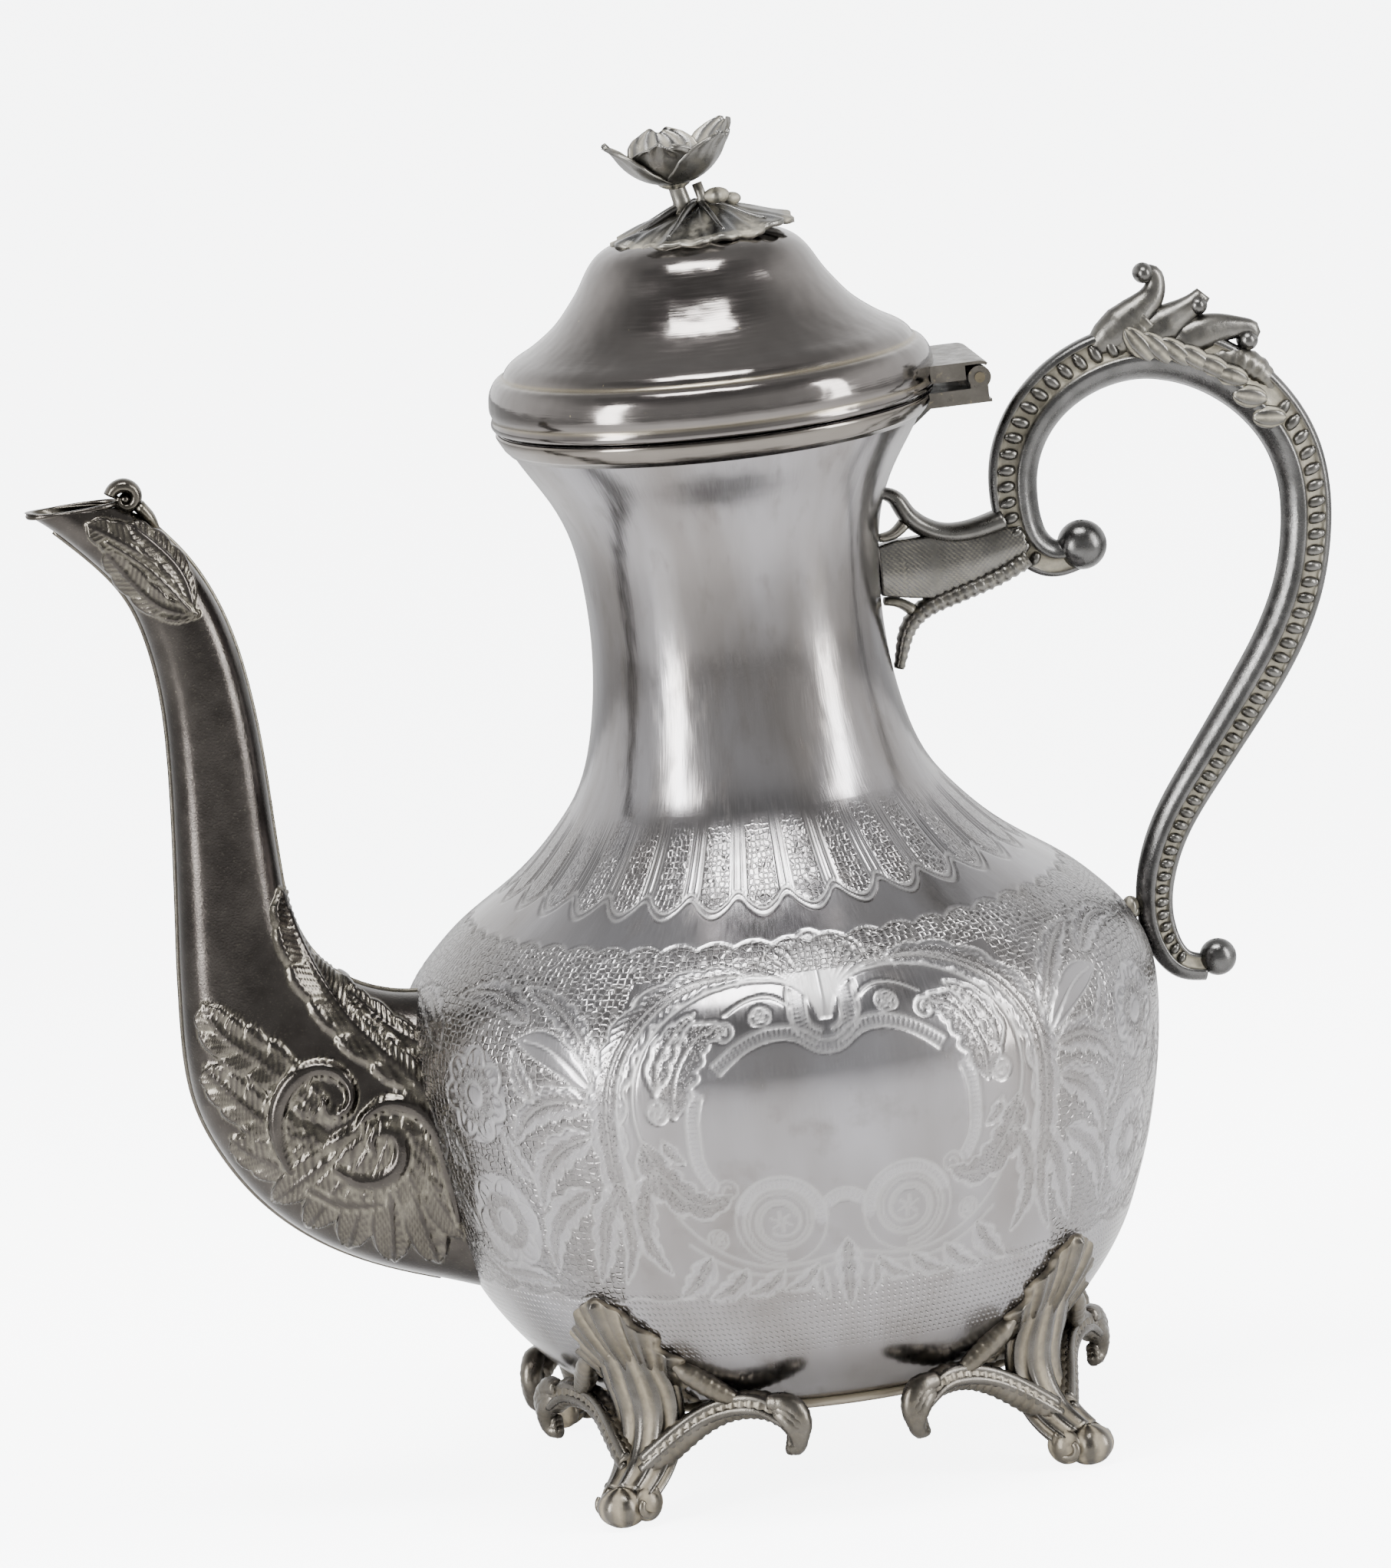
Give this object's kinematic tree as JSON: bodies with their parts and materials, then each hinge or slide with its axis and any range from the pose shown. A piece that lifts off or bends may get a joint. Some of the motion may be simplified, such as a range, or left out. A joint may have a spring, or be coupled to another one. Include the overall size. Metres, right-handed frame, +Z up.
{
  "type": "dallah coffee pot",
  "caption": "Footed serving pot with an engraved pear-shaped vessel, swan-neck spout, scroll handle and hinged domed lid with a flower finial",
  "frame": {"origin": "middle of the whole pot's footprint, on the table", "axes": "+Z up out of the table along the vessel's axis, -X towards the spout, +X towards the handle, Y across, square to the plane of symmetry"},
  "size_m": [0.249, 0.146, 0.2581],
  "materials": {
    "plated_body": "worn polished silver plate, engraved",
    "plated_base": "dull silver plate",
    "plated_cast": "worn silver plate on cast metal",
    "plated_lid": "polished silver plate",
    "hinge_metal": "dull nickel silver",
    "fastener": "dull",
    "solder": "dull"
  },
  "bodies": {
    "pot": {"vessel_shell": "plated_body", "base_plate": "plated_base", "mouth_band": "plated_body", "spout_near_half": "plated_cast", "spout_far_half": "plated_cast", "spout_curl": "plated_cast", "handle_scroll": "plated_cast", "handle_crest": "plated_cast", "handle_upper_ball": "plated_cast", "handle_lower_ball": "plated_cast", "handle_bracket": "plated_cast", "handle_lower_lug": "solder", "hinge_bracket": "hinge_metal", "hinge_pin": "fastener", "hinge_brace": "solder", "foot_1": "plated_cast", "foot_2": "plated_cast", "foot_3": "plated_cast", "foot_4": "plated_cast"},
    "lid": {"lid_dome": "plated_lid", "lid_collar": "plated_lid", "finial_leaf": "plated_cast", "finial_stem": "plated_cast", "finial_flower": "plated_cast", "finial_stud": "fastener", "finial_washer": "fastener", "finial_nut": "fastener", "hinge_leaf": "hinge_metal", "hinge_cover": "hinge_metal"}
  },
  "joints": [
    {"name": "lid_hinge", "type": "hinge", "parent": "pot", "child": "lid", "pos_m": [0.05715, 0, 0.2046], "axis": [0, 1, 0], "range_deg": [0, 95]}
  ]
}
